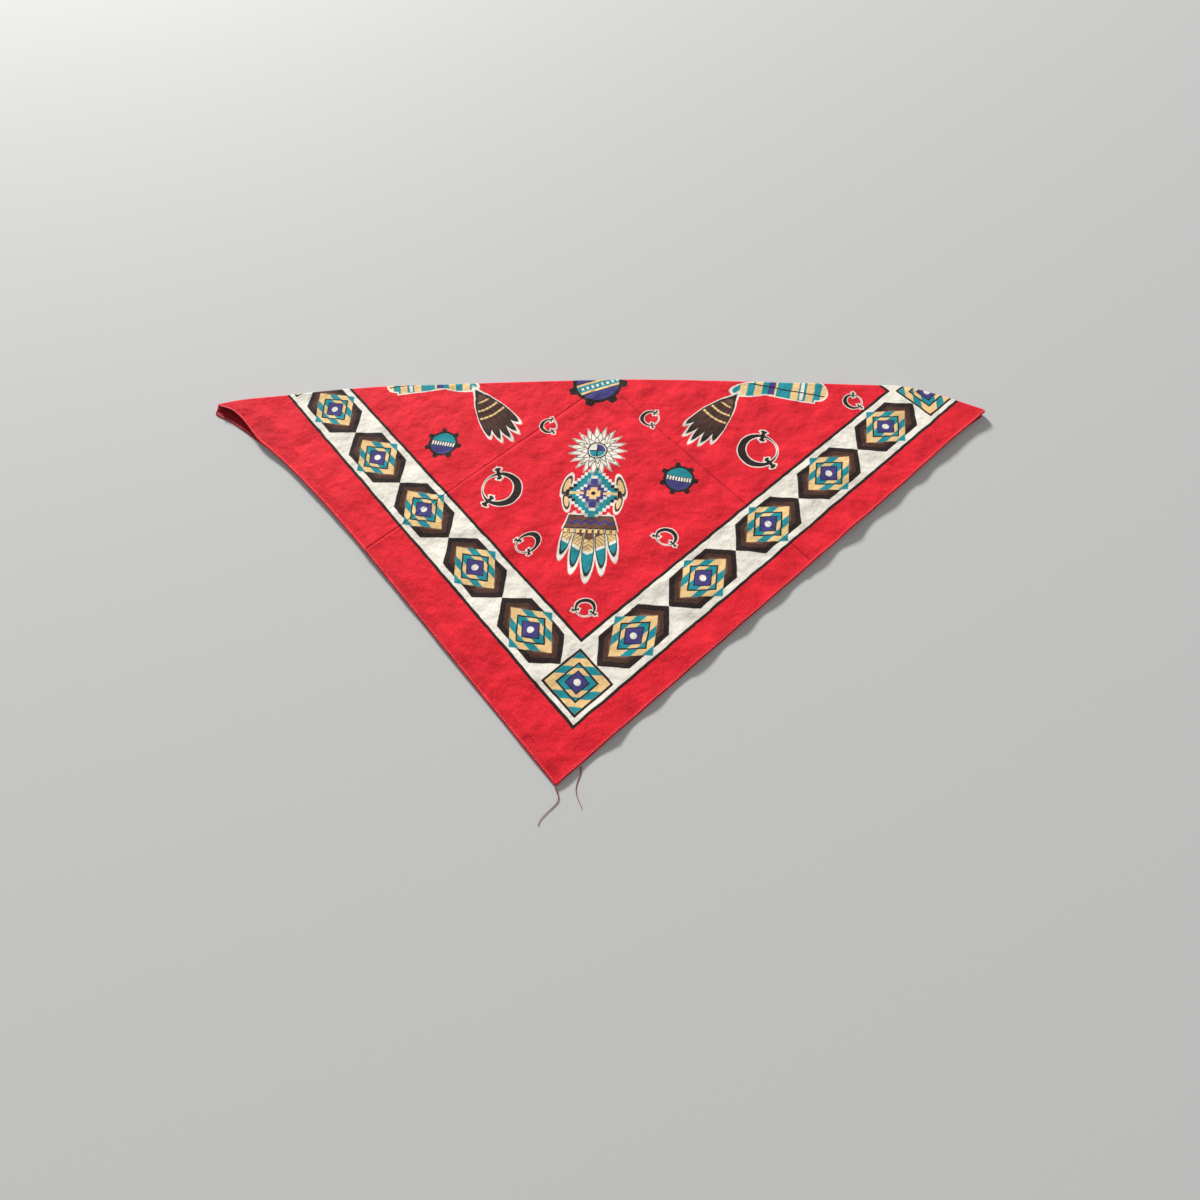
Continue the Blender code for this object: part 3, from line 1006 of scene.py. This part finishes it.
@dataclass
class Hem:
    """One turned edge of the square, with needle stitches on the face and bobbin stitches behind."""

    half: Half
    side: Side
    cotton: Material
    thread: Material
    steps: int = 320
    pitch: float = 2.5
    probe: float = 0.7
    stitch_size: Point = (1.0, 0.24, 0.15)

    @property
    def name(self) -> str:
        """Return the hem's name without its last word."""
        return f"{self.half.value}_{self.side.name.lower()}"

    @property
    def start(self) -> float:
        """Return where the roll starts: under the fold in front, past it behind."""
        return -LAY.half_loop if self.half is Half.FRONT else LAY.half_loop + 0.3

    @property
    def end(self) -> float:
        """Return where the roll ends, at the tip."""
        return LAY.side - LAY.blunt * (math.sqrt(2) - 1) - 0.5

    def edge(self, run: float, inset: float) -> Place:
        """Return a place near the edge, round the roll's blunt end and then down the slope.

        Args:
            run: distance along the edge, from the fold's middle height.
            inset: distance in from the edge.

        Returns:
            The distance along the fold and the depth below it.
        """
        blunt = LAY.blunt
        turn = math.radians(45) * smoothstep(blunt - 2.5, blunt + 2.5, run)
        slope = max(run - blunt, 0.0) / math.sqrt(2)
        along = LAY.half_diagonal - blunt - slope - inset * math.cos(turn)
        return self.side.value * along, min(run, blunt) + slope - inset * math.sin(turn)

    def frame(self, run: float, inset: float) -> tuple[Vector, Vector, Vector]:
        """Return the cloth's face near this edge.

        Args:
            run: distance along the edge from the fold.
            inset: distance in from the edge.

        Returns:
            The point, the direction along the hem, and the way the face looks.
        """
        surface: Surface = LAY.front if self.half is Half.FRONT else LAY.back
        point, before, after, inner = (
            surface(*self.edge(*place))[0]
            for place in (
                (run, inset), (run - self.probe, inset), (run + self.probe, inset), (run, inset + 2 * self.probe),
            )
        )
        ahead = (after - before).normalized()
        normal = ahead.cross((inner - point).normalized()) * -self.side.value
        return point, ahead, normal.normalized()

    def roll(self) -> Piece:
        """Build the rolled strip of cloth."""
        wide, thick = LAY.hem_width / 2, LAY.hem_thickness / 2
        long = self.end - self.start
        form = bmesh.new()
        bmesh.ops.create_cone(form, cap_ends=True, segments=14, radius1=1, radius2=1, depth=1)
        sides = [edge for edge in form.edges if abs(edge.verts[0].co.z - edge.verts[1].co.z) > 0.5]
        bmesh.ops.subdivide_edges(form, edges=sides, cuts=self.steps - 1, use_grid_fill=True)
        places: dict[bmesh.types.BMVert, Place] = {}
        for vert in form.verts:
            run = self.start + (vert.co.z + 0.5) * long
            wave = 1 + 0.05 * math.sin(run * 0.9) + 0.04 * math.sin(run * 0.37 + 1.0)
            across, up = (math.copysign(abs(value) ** 0.7, value) for value in vert.co.xy)
            across, up = across * wide, up * thick * wave * (0.8 if across > 0 else 1)
            inset = max(wide + across, 0.0)
            point, _, normal = self.frame(run, inset)
            print_inset = inset + up * 2
            places[vert] = ((run - print_inset) / math.sqrt(2), (run + print_inset) / math.sqrt(2))
            vert.co = LAY.world(*(point + normal * (up - LAY.thickness / 2)))
        write_print(form, places)
        bmesh.ops.recalc_face_normals(form, faces=form.faces[:])
        return finish_mesh(form, f"{self.name}_hem_roll", (self.cotton,))

    def stitches(self, needle: bool) -> Piece:
        """Build a row of stitches.

        Args:
            needle: whether it is the row on the printed face.
        """
        form = bmesh.new()
        out = 1 if needle else -1
        height = (LAY.hem_thickness / 2 + 0.02) * out - LAY.thickness / 2
        shift = 0.0 if needle else 0.3
        first = self.start + 1.5
        count = int((self.end - first - 1.5) / self.pitch)
        for k in range(count):
            run = first + k * self.pitch + shift
            sway = 0.10 * math.sin(k * 1.7) + 0.06 * math.sin(k * 0.31)
            point, ahead, normal = self.frame(run, LAY.stitch_inset + sway)
            side = normal.cross(ahead).normalized()
            middle = LAY.world(*(point + normal * height))
            long, wide, thick = self.stitch_size
            basis = Matrix((ahead * long, side * wide, normal * thick)).transposed() * MM
            matrix = Matrix.Translation(middle) @ basis.to_4x4()
            bmesh.ops.create_uvsphere(form, u_segments=6, v_segments=4, radius=1.0, matrix=matrix)
        bmesh.ops.recalc_face_normals(form, faces=form.faces[:])
        row = "needle" if needle else "bobbin"
        return finish_mesh(form, f"{self.name}_{row}_stitches", (self.thread,))

    def build(self) -> list[Piece]:
        """Build the roll and both rows; those of the back half are tied to it."""
        roll, needle, bobbin = self.roll(), self.stitches(True), self.stitches(False)
        side = self.side.name.lower()
        nodes = [f"{self.name}_hem"] + ([f"{side}_hem_end"] if self.half is Half.FRONT else [])
        for piece, slot, replaced in (
            (roll, "printed_cotton", nodes),
            (needle, "sewing_thread", [f"{self.name}_needle_thread"]),
            (bobbin, "sewing_thread", [f"{self.name}_bobbin_thread"]),
        ):
            TURN.carry(piece, self.half)
            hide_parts(*replaced)
        return [roll, needle, bobbin]


@dataclass
class ThreadTail:
    """A loose end of sewing thread, cut off past the tip."""

    name: str
    body: str
    route: tuple[Point, ...]
    thread: Material
    diameter: float = 0.5

    def line(self) -> list[Vector]:
        """Return the smoothed route in metres."""
        points = [Vector(p) for p in self.route]
        ends = [points[0] * 2 - points[1], *points, points[-1] * 2 - points[-2]]
        result: list[Vector] = []
        for k in range(1, len(ends) - 2):
            a, b, c, d = ends[k - 1 : k + 3]
            for t in (0.0, 0.5):
                square, cube = (2 * a - 5 * b + 4 * c - d) * t**2, (3 * b - a - 3 * c + d) * t**3
                result.append(0.5 * (2 * b + (c - a) * t + square + cube))
        result.append(points[-1])
        return [LAY.world(*p) for p in result]

    def build(self) -> Piece:
        line = self.line()
        curve = bpy.data.curves.new(self.name, "CURVE")
        curve.dimensions = "3D"
        curve.bevel_depth = self.diameter / 2 * MM
        curve.bevel_resolution = 3
        curve.use_fill_caps = True
        spline = curve.splines.new("POLY")
        spline.points.add(len(line) - 1)
        for k, point in enumerate(line):
            spline.points[k].co = (*point, 1)
            spline.points[k].radius = 1.2 + 1.3 * math.exp(-k / 4.0) - 0.4 * k / len(line)
        curve.materials.append(self.thread)
        piece = bpy.data.objects.new(f"{self.name}_end", curve)
        bpy.context.scene.collection.objects.link(piece)
        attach(piece, self.body)
        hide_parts(self.name)
        long = sum((b - a).length for a, b in zip(line, line[1:]))
        LOG.info("%s: %.1f mm of thread", piece.name, long / MM)
        return piece


@dataclass
class Bandana:
    """The whole folded square."""

    front_route: tuple[Point, ...] = (
        (0.1, -396.2, 1.35), (0.9, -398.2, 1.25), (2.0, -400.4, 0.95), (2.9, -402.7, 0.6), (2.8, -405.0, 0.4),
        (1.6, -407.4, 0.32), (-0.2, -409.6, 0.3), (-2.2, -411.7, 0.3), (-4.3, -413.9, 0.3), (-6.3, -416.2, 0.3),
        (-8.2, -418.7, 0.3), (-9.6, -421.4, 0.3), (-10.5, -424.2, 0.3),
    )
    back_route: tuple[Point, ...] = (
        (17.6, -379.0, 0.45), (17.9, -381.4, 0.4), (17.8, -383.9, 0.35), (17.2, -386.5, 0.3), (16.4, -389.1, 0.3),
        (15.7, -391.8, 0.3), (15.4, -394.5, 0.3), (15.6, -397.2, 0.3), (16.3, -399.9, 0.3), (17.4, -402.5, 0.3),
        (18.8, -405.0, 0.3), (20.2, -407.5, 0.3), (21.3, -409.8, 0.3),
    )

    def build(self) -> None:
        thread = Yarn("sewing_thread").make()
        loose = Yarn("loose_thread", (0.260, 0.008, 0.016)).make()
        ThreadTail("front_thread_tail", "front_half", self.front_route, loose).build()
        ThreadTail("back_thread_tail", "back_half", self.back_route, loose).build()
        face = Cotton("printed_cotton_face").make()
        reverse = Cotton("printed_cotton_reverse", faded_and_shaded=True).make()
        plain = Cotton("hem_cotton", printed=False).make()
        for half, nodes in (
            (Half.FRONT, ("front_panel", "turn_strip", "fold_band")),
            (Half.BACK, ("back_panel",)),
        ):
            piece = ClothSheet(half, face, reverse).build()
            TURN.carry(piece, half)
            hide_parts(*nodes)
            hems = [part for side in Side for part in Hem(half, side, plain, thread).build()]


# ------------------------ studio


@dataclass
class Studio:
    """A pale floor, soft light from the upper left, and the camera above the near side."""

    eye: Point = (0.0710, -0.2820, 0.5120)
    right: Point = (0.996, 0.076, -0.043)
    up: Point = (-0.051, 0.904, 0.425)
    lens: float = 19.8
    floor_colour: Colour = (0.50, 0.50, 0.49)

    def floor(self) -> None:
        """Lay the floor under the cloth."""
        form = bmesh.new()
        bmesh.ops.create_grid(form, x_segments=2, y_segments=2, size=6.0)
        bmesh.ops.translate(form, verts=form.verts[:], vec=(0, 0, -0.0002))
        material, shader = new_material("pale_floor")
        feed(shader, {"Base Color": self.floor_colour, "Roughness": 0.9, "Specular IOR Level": 0.2})
        finish_mesh(form, "floor", (material,))

    def lamp(self, name: str, where: Point, size: float, watts: float) -> None:
        """Hang one soft lamp that looks at the cloth.

        Args:
            name: the lamp's name.
            where: its place in metres.
            size: the side of its square in metres.
            watts: its power.
        """
        light = bpy.data.lights.new(name, "AREA")
        light.shape = "SQUARE"
        light.size = size
        light.energy = watts
        lamp = bpy.data.objects.new(name, light)
        lamp.location = where
        lamp.rotation_mode = "QUATERNION"
        lamp.rotation_quaternion = (-Vector(where)).to_track_quat("-Z", "Y")
        bpy.context.scene.collection.objects.link(lamp)

    def camera(self) -> None:
        """Set the camera."""
        right = Vector(self.right).normalized()
        back = right.cross(Vector(self.up)).normalized()
        up = back.cross(right)
        data = bpy.data.cameras.new("camera")
        data.lens = self.lens
        data.sensor_width = 36.0
        data.clip_start = 0.01
        camera = bpy.data.objects.new("camera", data)
        camera.matrix_world = Matrix.Translation(self.eye) @ Matrix((right, up, back)).transposed().to_4x4()
        bpy.context.scene.collection.objects.link(camera)
        bpy.context.scene.camera = camera

    def build(self) -> None:
        """Set up the whole studio."""
        self.camera()
        self.floor()
        world = bpy.data.worlds.new("studio")
        world.use_nodes = True
        feed(world.node_tree.nodes["Background"], {"Color": (1, 1, 1), "Strength": 0.33})
        bpy.context.scene.world = world
        self.lamp("key", (-3.10, 5.20, 2.90), 1.0, 720.0)
        self.lamp("fill", (2.4, -2.0, 3.6), 3.0, 30.0)
        bpy.context.scene.view_settings.view_transform = "Standard"


def main() -> None:
    """Build the studio and the bandana."""
    logging.basicConfig(level=logging.INFO, format="%(name)s %(message)s")
    Studio().build()
    Bandana().build()


if __name__ == "__main__":
    main()
